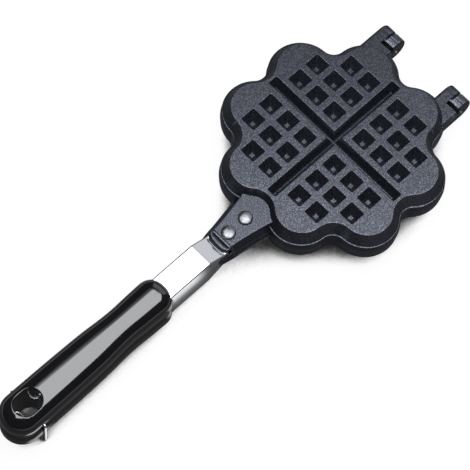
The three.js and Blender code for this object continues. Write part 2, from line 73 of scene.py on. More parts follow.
# Tang. Its sides are (spread, height), its nose is (set back, height) and its toes are (share, height).
TANG_ROOT, TANG_TIP, TANG_TOP, TANG_CEILING, HOLLOW_ROOT = 58, 107.3, 11.5, 8.0, 72.5
TIP_HALF, TANG_TAPER, TANG_SPREAD, TANG_POWER, TANG_EDGE = 8.2, 33.3, 5.9, 1.15, 0.6
FLARE_END, FLARE_RATE, TANG_STEPS = 77, 0.06, 12
TANG_SIDE = (
    (4.8, SEAM), (5.0, SEAM + 0.4), (4.0, 1.2), (3.0, 2.3),
    (2.2, 3.9), (1.5, 6.0), (1.0, 8.2), (0.55, 10.4),
)
HOLLOW_SIDE = (
    (2.4, -1), (2.4, SEAM), (0.6, 2.3),
    (-1.1, 6.0), (-1.3, TANG_CEILING - 0.4), (-1.7, TANG_CEILING),
)
LEDGE_END, LEDGE_TOP = 1.4, 10.6
NOSE_LENGTH, NOSE_HALF, NOSE_BULGE, NOSE_CORNER = 5.4, 9.3, 1.9, 1.5
NOSE_NARROWING, NOSE_DEPTH = 0.35, 4.2
NOSE_CREST = (
    (0, 8.15), (0.25, 8.65), (0.7, 9.2), (1.2, 9.6), (1.7, 9.82),
    (2.2, 9.88), (2.7, 9.8), (3.2, 9.6), (3.7, 9.3), (4.1, 9.0),
)
TOE_START, TOE_END, TOE_INNER, TOE_ROOT, TOE_TIP = 106.3, 119.2, 9.9, 13.3, 10.8
TOE_SOLE, TOE_DROP = 0.35, 0.78
TOE_SIDE = ((0.75, 1.2), (0.5, 2.1), (0.3, 3.1), (0.12, 4.2), (0, 4.9))

# Hinge ears, each with a knuckle over half its width
HINGE_X, EAR_CENTRE, EAR_WIDTH, EAR_ROUND = -88.0, 32.4, 18.6, 1.8
EAR_STATIONS = (HINGE_X, -82, -76, -70, -65, -60)
BARREL, BARREL_GAP, ARM_GAP = 9.4, 2.6, 1.3
RIB_DEPTH, RIB_PITCH, RIB_START, RIB_END = 0.5, 12.29, -12, 74
FLAT_X, FLAT_HALF, FLAT_LOW, FLAT_HIGH = 8.6, 4.9, -12, -0.6

# Shank, a pressed channel. Its sections stand closer together where its shape changes.
SHEET, TONGUE_TOP, LEVEL, SHANK_EDGE = 1.5, 7.7, 15.0, 1.25
TONGUE_HALF, CHANNEL_GAIN, GRIP_TONGUE_LOSS = 6, 3.6, 3.4
CHANNEL_START, CHANNEL_RUN, NARROW_START, NARROW_RUN = 109.0, 2.0, 173, 6
RISE_START, RISE_END, RISE_BEND = 114.0, 127.8, 0.7
FLANGE_START, FLANGE_LENGTH, FLANGE_LOW = 110.8, 7.7, 0.3
SHANK_END, HOLLOW_START, HOLLOW_NEXT = 240, 110.9, 111
SHANK_PLACES = (76, 78, 108.8, 112, 130.5, 150, 172.5, 179.5, 210, SHANK_END)
SHANK_RUNS = ((109, 0.25, 9), (112.8, 0.35, 17), (119.7, 0.8, 6), (124.2, 0.4, 15), (173, 0.75, 9))

# Grip, with its plan as (x, half width) and its socket likewise
GRIP_FRONT, FRONT_CENTRE, REAR_CENTRE = 160.4, 172.0, 291.6
FRONT_HALF, REAR_HALF, GRIP_TOP, GRIP_MID = 14.0, 15.4, 20.5, 8.5
GRIP_END = 307.0
WAIST = ((186, 13.6), (200, 13.1), (212, 13.55), (226, 14.5), (245, 15.0), (268, 15.3))
SOCKET, SOCKET_TOP = ((161, 9.9), (173, 9.9), (179, 6.5), (240.3, 6.5)), 15.3
CROWN_POWER, CROWN_END, CROWN_STEPS = 2.2, math.radians(84), 26
FLANK_POWER, FLANK_DEPTH, FLANK_LEVELS = 2.4, 3.6, (0.6, 1.2, 2, 3, 4.2, 5.6, 7)
HOLE_X, HOLE_LENGTH, HOLE_WIDTH, HOLE_ROUND, HOLE_LIFT = 286.0, 21.0, 16.8, 1.1, 0.07

# Wire bail
BAIL_X, BAIL_Z, WIRE = 285.5, 5.4, 1.0
BAIL_REACH, BAIL_LEAN, BAIL_BEND, BAIL_DEPTH = 1.3, 0.4, 3, 2.8
SEAT_RADIUS, SEAT_START, SEAT_END = 1.3, 10.2, 16.5

# Place of a half in the frame, read from the hinge pin
low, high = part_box("hinge_pin_1")
ORIGIN = Vector(((low[0] + high[0]) / 2 - HINGE_X * MM, 0, (low[2] + high[2]) / 2))
PLACE = {
    "upper": Matrix.Translation(ORIGIN) @ Matrix.Scale(MM, 4),
    "lower": Matrix.Translation(ORIGIN) @ Matrix.Rotation(math.pi, 4, "X") @ Matrix.Scale(MM, 4),
}


# Points and meshes
def turns(sides):
    """Angles round a full circle."""
    return [2 * math.pi * i / sides for i in range(sides)]


def quarter(steps):
    """Angles from 0 to a right angle."""
    return [math.pi / 2 * i / steps for i in range(steps + 1)]


def arc(centre, radius, start, end, steps):
    """(first, second) points on a circle, angles in degrees."""
    angles = [math.radians(start + (end - start) * i / steps) for i in range(steps + 1)]
    return [(centre[0] + radius * math.cos(t), centre[1] + radius * math.sin(t)) for t in angles]


def circle(centre, radius, sides):
    """(first, second) points round a full circle."""
    return [(centre[0] + radius * math.cos(t), centre[1] + radius * math.sin(t)) for t in turns(sides)]


def mesh_of(name, points, faces):
    """A mesh without doubled points, its faces outward."""
    mesh = bpy.data.meshes.new(name)
    mesh.from_pydata([tuple(p) for p in points], [], faces)
    work = bmesh.new()
    work.from_mesh(mesh)
    bmesh.ops.remove_doubles(work, verts=work.verts, dist=1e-4)
    bmesh.ops.recalc_face_normals(work, faces=work.faces)
    work.to_mesh(mesh)
    work.free()
    return mesh


def walls(levels, count):
    """Faces between rings of that many points."""
    faces = []
    for level in range(levels - 1):
        for i in range(count):
            a, b = level * count + i, level * count + (i + 1) % count
            faces.append([a, b, b + count, a + count])
    return faces


def loft(name, rings):
    """A closed skin through rings of equal point count."""
    count = len(rings[0])
    points = [p for ring in rings for p in ring]
    ends = [list(range(count))[::-1], [len(points) - count + i for i in range(count)]]
    return mesh_of(name, points, ends + walls(len(rings), count))


def lathe(name, profile, sides):
    """A closed skin turned about Z from (radius, height) points that start and end on the axis."""
    rings = [[(r * math.cos(t), r * math.sin(t), z) for t in turns(sides)] for r, z in profile[1:-1]]
    points = [p for ring in rings for p in ring] + [(0, 0, profile[0][1]), (0, 0, profile[-1][1])]
    faces = walls(len(rings), sides)
    top = (len(rings) - 1) * sides
    for i in range(sides):
        faces.append([(i + 1) % sides, i, len(points) - 2])
        faces.append([top + i, top + (i + 1) % sides, len(points) - 1])
    return mesh_of(name, points, faces)


def joined(name, meshes):
    """Meshes that don't touch, as one."""
    points, faces = [], []
    for mesh in meshes:
        start = len(points)
        points += [v.co.copy() for v in mesh.vertices]
        faces += [[start + i for i in face.vertices] for face in mesh.polygons]
    return mesh_of(name, points, faces)


def linked(name, mesh):
    made = bpy.data.objects.new(name, mesh)
    bpy.context.scene.collection.objects.link(made)
    return made


def cut(base, *steps):
    """Base mesh after boolean steps of (operation, mesh)."""
    shape = linked("work", base)
    tools = []
    for operation, mesh in steps:
        tool = linked("tool", mesh)
        modifier = shape.modifiers.new(operation, "BOOLEAN")
        modifier.operation, modifier.object, modifier.solver = operation, tool, "MANIFOLD"
        tools.append(tool)
    graph = bpy.context.evaluated_depsgraph_get()
    made = bpy.data.meshes.new_from_object(shape.evaluated_get(graph))
    for spent in (shape, *tools):
        bpy.data.objects.remove(spent)
    return made


def piece(node, mesh, body, place, angle=32):
    """The look of a node: set in place, smoothed up to that angle, riding on its body."""
    name, look = f"{node}_look", SLOT_OF[node]
    mesh = mesh.copy()
    mesh.name = name
    work = bmesh.new()
    work.from_mesh(mesh)
    bmesh.ops.remove_doubles(work, verts=work.verts, dist=2e-3)
    bmesh.ops.dissolve_degenerate(work, edges=work.edges, dist=1e-3)
    bmesh.ops.transform(work, matrix=place, verts=work.verts)
    work.to_mesh(mesh)
    work.free()
    mesh.shade_smooth()
    mesh.set_sharp_from_angle(angle=math.radians(angle))
    mesh.materials.clear()
    mesh.materials.append(LOOKS[look])
    made = linked(name, mesh)
    weighted = made.modifiers.new("weighted_normals", "WEIGHTED_NORMAL")
    weighted.keep_sharp = True
    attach(made, body)
    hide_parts(node)


# Flower casting
def flower_ring(offset, z, lobe_steps=24, notch_steps=13):
    """The outline of lobes and notches, moved outward."""
    half = math.pi / LOBES
    reach, aside = LOBE_RADIUS + NOTCH_RADIUS, LOBE_CENTRE * math.sin(half)
    notch_centre = LOBE_CENTRE * math.cos(half) + math.sqrt(reach**2 - aside**2)
    meet = math.atan2(notch_centre * math.sin(half), notch_centre * math.cos(half) - LOBE_CENTRE)
    lobe_radius, notch_radius = LOBE_RADIUS + offset, NOTCH_RADIUS - offset
    points = []
    for lobe in range(LOBES):
        axis = (2 * lobe + 1) * half
        cx, cy = LOBE_CENTRE * math.cos(axis), LOBE_CENTRE * math.sin(axis)
        nx, ny = notch_centre * math.cos(axis + half), notch_centre * math.sin(axis + half)
        for i in range(lobe_steps + 1):
            turn = axis - meet + 2 * meet * i / lobe_steps
            points.append((cx + lobe_radius * math.cos(turn), cy + lobe_radius * math.sin(turn), z))
        for i in range(1, notch_steps):
            turn = axis + half + math.pi + (1 - 2 * i / notch_steps) * (meet - half)
            points.append((nx + notch_radius * math.cos(turn), ny + notch_radius * math.sin(turn), z))
    return points


def casting_outside():
    ledge = RIM_DRAFT + LEDGE_WIDTH
    lip = ledge + LIP_DRAFT
    slope = math.degrees(math.atan2(TOP - LEDGE_Z, RIM_DRAFT))
    foot = (RIM_DRAFT + 0.75, LEDGE_Z)
    crown = -RIM_CROWN * 0.72
    profile = [(lip - 0.25, SEAM), (lip, SEAM + 0.3), (ledge + 0.1, LEDGE_Z - 0.8)]
    profile += arc((ledge + 0.1 - LEDGE_ROUND, LEDGE_Z - LEDGE_ROUND), LEDGE_ROUND, 5, 90, 4)
    profile += [foot, *arc((foot[0], LEDGE_Z + RIM_FOOT), RIM_FOOT, 270, 270 - slope + 4, 4)[1:]]
    profile += arc((crown, TOP - RIM_CROWN), RIM_CROWN, 90 - slope + 4, 90, 5)
    # Flat rings near the edge keep its wear, which is partly painted highlight, narrow
    profile += [(crown - 0.8, TOP), (crown - 2, TOP)]
    return loft("outside", [flower_ring(offset, z) for offset, z in profile])


def casting_cavity():
    mouth = RIM_DRAFT + LEDGE_WIDTH + LIP_DRAFT - LAND
    root = mouth - CAVITY_DRAFT
    fillet_z = CAVITY_TOP - CAVITY_FILLET
    profile = [(mouth + 0.5, -1), (mouth + 0.4, SEAM), (mouth, SEAM + 0.45), (root + 0.1, fillet_z)]
    profile += arc((root - CAVITY_FILLET, fillet_z), CAVITY_FILLET, 8, 90, 4)
    return loft("cavity", [flower_ring(offset, z, 16, 9) for offset, z in profile])


def box_ring(x, y, half_x, half_y, radius, z, steps=4):
    """A rectangle with rounded corners."""
    points = []
    for sx, sy, start in ((1, 1, 0), (-1, 1, 90), (-1, -1, 180), (1, -1, 270)):
        centre = (x + sx * (half_x - radius), y + sy * (half_y - radius))
        points += [(px, py, z) for px, py in arc(centre, radius, start, start + 90, steps)]
    return points


def grown_ring(opening, grow, radius, z, steps=4):
    """The ring of a well or groove of (x, y, half_x, half_y), made larger all round."""
    x, y, half_x, half_y = opening
    return box_ring(x, y, half_x + grow, half_y + grow, radius, z, steps)


def well(opening, inset):
    rings = [grown_ring(opening, -inset - 0.25, 0.4, WELL_FLOOR)]
    rings.append(grown_ring(opening, -inset + 0.1, 0.55, WELL_FLOOR + 0.25))
    for grow, z in arc((WELL_RIM, TOP - WELL_RIM), WELL_RIM, 152, 90, 4):
        rings.append(grown_ring(opening, grow - 0.35, max(0.6 + grow, 0.25), z))
    rings.append(grown_ring(opening, WELL_RIM, 1.5, TOP + 1))
    return loft("well", rings)


def peg(opening, inset):
    """The inside of a well's wall, which stands in the cavity."""
    slope = inset / (TOP - WELL_FLOOR - 0.5)
    skin = WELL_WALL * math.hypot(1, slope)
    tip = WELL_FLOOR - WELL_WALL

    def grow(z):
        return skin - inset + (z - WELL_FLOOR) * slope

    rings = [grown_ring(opening, grow(tip) - 0.5, 0.5, tip, 3)]
    for z in (tip + 0.45, CAVITY_TOP - 0.6):
        rings.append(grown_ring(opening, grow(z), 1.0, z, 3))
    rings.append(grown_ring(opening, grow(CAVITY_TOP) + 0.5, 1.4, CAVITY_TOP + 1, 3))
    return loft("peg", rings)


def openings():
    """(opening, inset) of the wells in all four quarters, and of the two grooves."""
    wells = []
    for row in range(WELLS_PER_SIDE):
        for column in range(WELLS_PER_SIDE):
            if row + column < 2 * (WELLS_PER_SIDE - 1):
                x, y = FIRST_WELL + WELL_PITCH * column, FIRST_WELL + WELL_PITCH * row
                for place in ((x, y), (-x, y), (-x, -y), (x, -y)):
                    wells.append(((*place, WELL_HALF, WELL_HALF), WELL_INSET))
    grooves = [((0, 0, GROOVE_HALF_LENGTH, GROOVE_HALF), GROOVE_INSET)]
    grooves.append(((0, 0, GROOVE_HALF, GROOVE_HALF_LENGTH), GROOVE_INSET))
    return wells, grooves


# Tang: walls with a concave foot, a nose like a rounded bar, and toes that run on beside the shank
def tang_half(x):
    taper = max(TANG_TIP - x, 0) / TANG_TAPER
    root = max(FLARE_END - x, 0)
    return TIP_HALF + TANG_SPREAD * taper**TANG_POWER + FLARE_RATE * root**2


def tang_ring(start, end, spread, z):
    stations = [start + (end - start) * i / TANG_STEPS for i in range(TANG_STEPS + 1)]
    side = [(x, tang_half(x) + spread) for x in stations]
    return [(x, -half, z) for x, half in side] + [(x, half, z) for x, half in reversed(side)]


def tang_outside():
    end = TANG_TIP + 0.5
    rings = [tang_ring(TANG_ROOT, end, spread, z) for spread, z in TANG_SIDE]
    edge = arc((TANG_EDGE, TANG_TOP - TANG_EDGE), TANG_EDGE, 180, 90, 4)
    for inset, z in (*edge, (1.3, TANG_TOP), (2.4, TANG_TOP)):
        rings.append(tang_ring(TANG_ROOT, end - TANG_EDGE - inset * 0.7, 0.45 - inset, z))
    return loft("tang", rings)


def tang_hollow():
    return loft("hollow", [tang_ring(HOLLOW_ROOT, TANG_TIP + 1, spread, z) for spread, z in HOLLOW_SIDE])


def nose_ring(half, front, bulge, z):
    start, corner = TANG_TIP - 1, NOSE_CORNER
    points = [(start, -half, z)]
    points += [(px, py, z) for px, py in arc((front - corner, -half + corner), corner, 270, 345, 4)]
    for i in range(1, 12):
        y = (half - corner) * (i / 6 - 1)
        points.append((front + bulge * (1 - (y / half) ** 2), y, z))
    points += [(px, py, z) for px, py in arc((front - corner, half - corner), corner, 15, 90, 4)]
    return points + [(start, half, z)]


def tang_nose():
    front = TANG_TIP + NOSE_LENGTH
    rings = [nose_ring(NOSE_HALF - 0.2, front - 0.2, NOSE_BULGE, TANG_CEILING)]
    for back, z in NOSE_CREST:
        half, bulge = NOSE_HALF - back * NOSE_NARROWING, NOSE_BULGE * (1 - back / NOSE_DEPTH)
        rings.append(nose_ring(half, front - back, bulge, z))
    return loft("nose", rings)


def tang_ledge():
    start, end = TANG_TIP - 1.3, TANG_TIP + LEDGE_END
    levels = ((0, TANG_CEILING), (0, LEDGE_TOP - 0.4), (0.12, LEDGE_TOP - 0.12), (0.4, LEDGE_TOP))
    rings = []
    for inset, z in levels:
        front, half = end - inset, TIP_HALF - inset
        rings.append([(start, -TIP_HALF, z), (front, -half, z), (front, half, z), (start, TIP_HALF, z)])
    return loft("ledge", rings)


def toes():
    meshes = []
    for side in (1, -1):
        rings = []
        for i in range(9):
            share = i / 8
            x = TOE_START + (TOE_END - TOE_START) * share
            outer = TOE_ROOT + (TOE_TIP - TOE_ROOT) * share**1.3
            tall = 1 - TOE_DROP * share**0.8
            ring = [(TOE_INNER, SEAM), (outer, SEAM), (outer, SEAM + TOE_SOLE)]
            for along, z in TOE_SIDE:
                ring.append((TOE_INNER + (outer - TOE_INNER) * along, SEAM + TOE_SOLE + z * tall))
            rings.append([(x, side * y, z) for y, z in ring])
        meshes.append(loft("toe", rings))
    return joined("toes", meshes)


# Hinge ears
def ear_block(low, high):
    section = [(low, SEAM), (high, SEAM), (high, BARREL - 1.4)]
    section += arc((high - 0.5, BARREL - 0.5), 0.5, 0, 90, 3)
    section += [(high - 1.4, BARREL), (high - 2.4, BARREL), (low + 3.8, BARREL), (low + 2.8, BARREL)]
    section += arc((low + EAR_ROUND, BARREL - EAR_ROUND), EAR_ROUND, 90, 180, 7)
    return loft("ear", [[(x, y, z) for y, z in section] for x in EAR_STATIONS])


def barrel_bar(radius, profile, fluted=False, sides=96):
    """A bar about the hinge axis through (inset, y) rings, ribbed where it faces the other half."""
    rings = []
    for inset, y in profile:
        ring = []
        for turn in turns(sides):
            reach = radius - inset
            own = math.degrees(math.atan2(-math.cos(turn), -math.sin(turn)))
            if fluted and RIB_START < own < RIB_END:
                reach -= RIB_DEPTH * (0.5 - 0.5 * math.cos(2 * math.pi * (own - RIB_START) / RIB_PITCH))
            ring.append((HINGE_X + reach * math.cos(turn), y, reach * math.sin(turn)))
        rings.append(ring)
    return loft("bar", rings)


def ears():
    """Blocks, knuckles, room for the other half's knuckles, bores, and flats on the knuckles."""
    blocks, barrels, hollows, bores, flats = [], [], [], [], []
    arm = (EAR_WIDTH - ARM_GAP) / 2
    for centre in (-EAR_CENTRE, EAR_CENTRE):
        low, high = centre - EAR_WIDTH / 2, centre + EAR_WIDTH / 2
        blocks.append(ear_block(low, high))
        profile = []
        for turn in quarter(6):
            profile.append((EAR_ROUND * (1 - math.sin(turn)), low + EAR_ROUND * (1 - math.cos(turn))))
        profile += [(0, low + arm - 0.35), (0.35, low + arm)]
        barrels.append(barrel_bar(BARREL, profile, fluted=True))
        hollows.append(barrel_bar(BARREL + BARREL_GAP, [(0, low + arm), (0, high + 1)]))
        bores.append(barrel_bar(BORE, [(0, low - 1), (0, high + 1)], sides=40))
        flat = (HINGE_X + FLAT_X, low + arm / 2, FLAT_HALF, arm / 2 + 1)
        flats.append(loft("flat", [box_ring(*flat, 0.3, z) for z in (FLAT_LOW, FLAT_HIGH)]))
    return [joined("ears", found) for found in (blocks, barrels, hollows, bores, flats)]


def post(x, radius, low, high):
    """An upright cylinder on the long axis."""
    return loft("post", [[(px, py, z) for px, py in circle((x, 0), radius, 40)] for z in (low, high)])


def plate_mesh():
    blocks, barrels, hollows, bores, flats = ears()
    wells, grooves = openings()
    inside = cut(
        casting_cavity(),
        ("DIFFERENCE", joined("pegs", [peg(*opening) for opening in wells])),
        *[("DIFFERENCE", peg(*opening)) for opening in grooves],
    )
    return cut(
        casting_outside(),
        ("UNION", tang_outside()),
        ("UNION", toes()),
        ("UNION", blocks),
        ("DIFFERENCE", hollows),
        ("UNION", barrels),
        ("DIFFERENCE", flats),
        ("UNION", tang_ledge()),
        ("UNION", tang_nose()),
        ("DIFFERENCE", inside),
        ("DIFFERENCE", joined("wells", [well(*opening) for opening in wells])),
        *[("DIFFERENCE", well(*opening)) for opening in grooves],
        ("DIFFERENCE", tang_hollow()),
        ("DIFFERENCE", joined("holes", [post(x, BORE, 6, 13) for x in RIVETS])),
        ("DIFFERENCE", bores),
    )


# Shank
def shank_top(x):
    """Height of the web: the tongue, a rise with short bends at both ends, and the level run."""
    slope = (LEVEL - TONGUE_TOP) / (RISE_END - RISE_START)
    for corner, base, way in ((RISE_START, TONGUE_TOP, 1), (RISE_END, LEVEL, -1)):
        t = (x - corner + RISE_BEND) / (2 * RISE_BEND)
        if 0 <= t <= 1:
            return base + way * slope * RISE_BEND * (t if way > 0 else 1 - t) ** 2
    if x < RISE_START:
        return TONGUE_TOP
    return LEVEL if x > RISE_END else TONGUE_TOP + slope * (x - RISE_START)


def smooth(share):
    share = min(max(share, 0), 1)
    return share * share * (3 - 2 * share)


def shank_half(x):
    """Half the width: more where the flanges start, less inside the grip."""
    gain = CHANNEL_GAIN * smooth((x - CHANNEL_START) / CHANNEL_RUN)
    return TONGUE_HALF + gain - GRIP_TONGUE_LOSS * smooth((x - NARROW_START) / NARROW_RUN)


def shank_section(x, inset, low):
    half, top = shank_half(x) - inset, shank_top(x) - inset
    radius = min(SHANK_EDGE - inset * 0.5, max(top - low - 0.05, 0.05))
    ring = [(-half, low), (half, low), (half, top - radius)]
    ring += arc((half - radius, top - radius), radius, 0, 90, 5)[1:]
    ring += arc((-half + radius, top - radius), radius, 90, 180, 5)
    return [(x, y, z) for y, z in ring]


def flange_edge(x):
    """Lower edge, which drops from the web's underside to the full flange."""
    web = shank_top(x) - SHEET
    return web + (FLANGE_LOW - web) * min(max((x - FLANGE_START) / FLANGE_LENGTH, 0), 1)


def shank_mesh():
    runs = [start + step * i for start, step, count in SHANK_RUNS for i in range(count)]
    stations = sorted({*SHANK_PLACES, *runs})
    hollow = [HOLLOW_START, *[x for x in stations if HOLLOW_NEXT < x < SHANK_END], SHANK_END + 1]
    outer = loft("outer", [shank_section(x, 0, flange_edge(x)) for x in stations])
    inner = loft("inner", [shank_section(x, SHEET, -1) for x in hollow])
    holes = [post(x, BORE, 4, 9) for x in RIVETS] + [post(SCREW_X, SCREW_BORE, 12, 16)]
    return cut(outer, ("DIFFERENCE", inner), ("DIFFERENCE", joined("holes", holes)))


# Grip
def spline(points, count):
    """A smooth run through the points."""
    ends = [points[0], *points, points[-1]]
    found = []
    for i in range(count + 1):
        place = (len(points) - 1) * i / count
        k = min(int(place), len(points) - 2)
        t = place - k
        point = []
        for a, b, c, d in zip(*ends[k : k + 4]):
            part = 2 * b + (c - a) * t + (2 * a - 5 * b + 4 * c - d) * t * t
            point.append(0.5 * (part + (3 * b - a - 3 * c + d) * t**3))
        found.append(tuple(point))
    return found


def grip_plan():
    side = spline([(FRONT_CENTRE, FRONT_HALF), *WAIST, (REAR_CENTRE, REAR_HALF)], 56)
    rear, front = [], []
    for turn in quarter(20)[1:-1]:
        rear.append((REAR_CENTRE + REAR_HALF * math.sin(turn), REAR_HALF * math.cos(turn)))
        reach, half = math.cos(turn) ** (2 / CROWN_POWER), math.sin(turn) ** (2 / CROWN_POWER)
        front.append((FRONT_CENTRE - (FRONT_CENTRE - GRIP_FRONT) * reach, FRONT_HALF * half))
    left = [(GRIP_FRONT, 0), *front, *side, *rear, (GRIP_END, 0)]
    right = [(x, -y) for x, y in left[1:-1]]
    return right + left[::-1]


PLAN = grip_plan()


def crown_rise(sine):
    return (GRIP_TOP - GRIP_MID) * (sine / math.sin(CROWN_END)) ** (2 / CROWN_POWER)


def flank_share(z):
    """Width below the middle of a half, which closes in towards the parting plane."""
    return (1 - ((GRIP_MID - z) / (GRIP_MID + FLANK_DEPTH)) ** FLANK_POWER) ** (1 / FLANK_POWER)


def grip_ring(share, z):
    points = []
    for x, y in PLAN:
        spine = min(max(x, FRONT_CENTRE), REAR_CENTRE)
        points.append((spine + (x - spine) * share, y * share, z))
    return points


def crown_height(x, y):
    """Height of the grip's top near its rear end."""
    share = math.hypot(max(x - REAR_CENTRE, 0), y) / REAR_HALF
    return GRIP_MID + crown_rise(min(math.sqrt(max(1 - share**CROWN_POWER, 0)), math.sin(CROWN_END)))


def stadium(grow, z):
    radius, centre = HOLE_WIDTH / 2 + grow, (HOLE_LENGTH - HOLE_WIDTH) / 2
    points = []
    for x, start in ((HOLE_X + centre, -90), (HOLE_X - centre, 90)):
        points += [(px, py, z) for px, py in arc((x, 0), radius, start, start + 180, 40)]
    return points


def hang_hole():
    """The hole's tool, whose rim follows the crown and ends just above it."""
    rings = [stadium(0, -0.85), stadium(0, SEAM + 0.25)]
    for turn in quarter(6):
        drop = HOLE_LIFT - HOLE_ROUND * (1 - math.sin(turn))
        ring = stadium(HOLE_ROUND * (1 - math.cos(turn)), 0)
        rings.append([(x, y, crown_height(x, y) + drop) for x, y, z in ring])
    return loft("hole", [*rings, stadium(2.2, GRIP_TOP + 1)])


def bail_seat(side):
    seat = circle((BAIL_X, BAIL_Z), SEAT_RADIUS, 24)
    return loft("seat", [[(x, side * y, z) for x, z in seat] for y in (SEAT_START, SEAT_END)])


def grip_mesh(seats):
    levels = [(flank_share(SEAM) - 0.04, SEAM), (flank_share(SEAM + 0.12) - 0.012, SEAM + 0.12)]
    levels += [(flank_share(z), z) for z in FLANK_LEVELS]
    for i in range(CROWN_STEPS + 1):
        turn = CROWN_END * i / CROWN_STEPS
        levels.append((math.cos(turn) ** (2 / CROWN_POWER), GRIP_MID + crown_rise(math.sin(turn))))
    body = loft("body", [grip_ring(share, z) for share, z in levels])
    plan = [(x, -y) for x, y in SOCKET] + list(SOCKET[::-1])
    socket = loft("socket", [[(x, y, z) for x, y in plan] for z in (-1, SOCKET_TOP)])
    tools = [socket, hang_hole(), post(SCREW_X, SCREW_BORE, 15, 18.9)]
    if seats:
        tools += [bail_seat(side) for side in (1, -1)]
    return cut(body, *[("DIFFERENCE", tool) for tool in tools])


# Turned pieces, as (radius, height) profiles
def rivet_mesh():
    seat, tail = TANG_TOP + 0.3, TONGUE_TOP - SHEET - 0.3
    profile = [(0, tail - 1.4), (3.2, tail - 1.4), (3.8, tail - 1.1), (4.1, tail - 0.5), (4.1, tail)]
    profile += [(2.5, tail), (2.5, seat), (5.1, seat)]
    for turn in quarter(11)[:-1]:
        profile.append((5.3 * math.cos(turn) ** 0.9, seat + 0.15 + 1.65 * math.sin(turn) ** 1.15))
    return lathe("rivet", [*profile, (0, seat + 1.8)], 56)


def screw_mesh():
    head = LEVEL - SHEET - 0.3
    profile = [(0, head - 2.0), (2.2, head - 2.0), (3.1, head - 1.7), (3.5, head - 1.1)]
    profile += [(3.6, head - 0.4), (3.6, head), (1.9, head)]
    profile += [(1.9 if i % 2 else 1.65, head + 0.6 + i * 0.28) for i in range(14)]
    profile += [(1.9, LEVEL + 1.5), (0, LEVEL + 3.4)]
    arms = []
    for half_x, half_y in ((1.9, 0.35), (0.35, 1.9)):
        rings = [box_ring(0, 0, half_x, half_y, 0.1, z, 1) for z in (head - 3, head - 1.0)]
        arms.append(("DIFFERENCE", loft("slot", rings)))
    return cut(lathe("screw", profile, 40), *arms)


def pin_mesh():
    half = EAR_WIDTH / 2 - 0.6
    profile = [(0, -half), (2.2, -half), (2.5, -half + 0.3), (2.5, half - 0.3), (2.2, half), (0, half)]
    return lathe("pin", profile, 40)


def bail_mesh():
    """Wire along a path in the YZ plane, down to the foot of the CAD bail."""
    low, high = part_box("locking_bail")
    side, end = REAR_HALF + BAIL_REACH, REAR_HALF - BAIL_DEPTH
    foot, foot_side = (low[2] - ORIGIN.z) / MM + WIRE, side - BAIL_LEAN
    corners = [(end, BAIL_Z), (side, BAIL_Z), (foot_side, foot)]
    corners = [Vector(c) for c in corners + [(-y, z) for y, z in reversed(corners)]]
    path = [corners[0]]
    bends = (BAIL_REACH, BAIL_BEND, BAIL_BEND, BAIL_REACH)
    for before, corner, after, bend in zip(corners, corners[1:], corners[2:], bends):
        enter = corner + (before - corner).normalized() * bend
        leave = corner + (after - corner).normalized() * bend
        for t in [k / 10 for k in range(11)]:
            path.append(enter * (1 - t) ** 2 + corner * 2 * t * (1 - t) + leave * t * t)
    path.append(corners[-1])
    rings = []
    for i, point in enumerate(path):
        ahead = (path[min(i + 1, len(path) - 1)] - path[max(i - 1, 0)]).normalized()
        across = Vector((-ahead.y, ahead.x))
        ring = []
        for turn in turns(20):
            flat = point + across * WIRE * math.cos(turn)
            ring.append((BAIL_X + WIRE * math.sin(turn), flat.x, flat.y))
        rings.append(ring)
    return loft("bail", rings)


# Materials
def material(name, **sockets):
    """A Principled material with fixed values, its node tree and its shader."""
    made = bpy.data.materials.new(name)
    made.use_nodes = True
    shader = made.node_tree.nodes["Principled BSDF"]
    for socket, value in sockets.items():
        shader.inputs[socket.replace("_", " ")].default_value = value
    return made, made.node_tree, shader


def add(tree, kind, **settings):
    """A node of that kind. Settings named in_X go to input X, and the rest are its properties."""
    made = tree.nodes.new(kind)
    for key, value in settings.items():
        if key.startswith("in_"):
            made.inputs[key[3:].replace("_", " ")].default_value = value
        else:
            setattr(made, key, value)
    return made


def feed(tree, socket, value):
    """A link from another socket, or a plain value."""
    if isinstance(value, bpy.types.NodeSocket):
        tree.links.new(value, socket)
    else:
        socket.default_value = value


def calc(tree, operation, *values):
    made = add(tree, "ShaderNodeMath", operation=operation)
    for socket, value in zip(made.inputs, values):
        feed(tree, socket, value)
    return made.outputs[0]


def mixed(tree, share, a, b, blend="MIX"):
    made = add(tree, "ShaderNodeMix", data_type="RGBA", blend_type=blend)
    for place, value in ((0, share), (6, a), (7, b)):
        feed(tree, made.inputs[place], value)
    return made.outputs[2]


def noise(tree, scale, detail, rough=0.5, stretch=(1, 1, 1)):
    coords = add(tree, "ShaderNodeTexCoord")
    mapping = add(tree, "ShaderNodeMapping", in_Scale=stretch)
    tree.links.new(coords.outputs["Object"], mapping.inputs["Vector"])
    texture = add(tree, "ShaderNodeTexNoise", in_Scale=scale, in_Detail=detail, in_Roughness=rough)
    tree.links.new(mapping.outputs["Vector"], texture.inputs["Vector"])
    return texture.outputs["Fac"]


def ramp(tree, value, stops):
    """A colour ramp from (place, grey or colour) stops."""
    made = add(tree, "ShaderNodeValToRGB")
    elements = made.color_ramp.elements
    while len(elements) < len(stops):
        elements.new(0.5)
    for element, (place, colour) in zip(elements, stops):
        element.position = place
        element.color = (colour,) * 3 + (1,) if isinstance(colour, (int, float)) else (*colour, 1)
    tree.links.new(value, made.inputs["Fac"])
    return made.outputs["Color"]


def dress(tree, shader, tone, rough, height, strength, distance):
    """Links for colour and roughness, and a bump from that height."""
    tree.links.new(tone, shader.inputs["Base Color"])
    tree.links.new(rough, shader.inputs["Roughness"])
    made = add(tree, "ShaderNodeBump", in_Strength=strength, in_Distance=distance)
    tree.links.new(height, made.inputs["Height"])
    tree.links.new(made.outputs["Normal"], shader.inputs["Normal"])


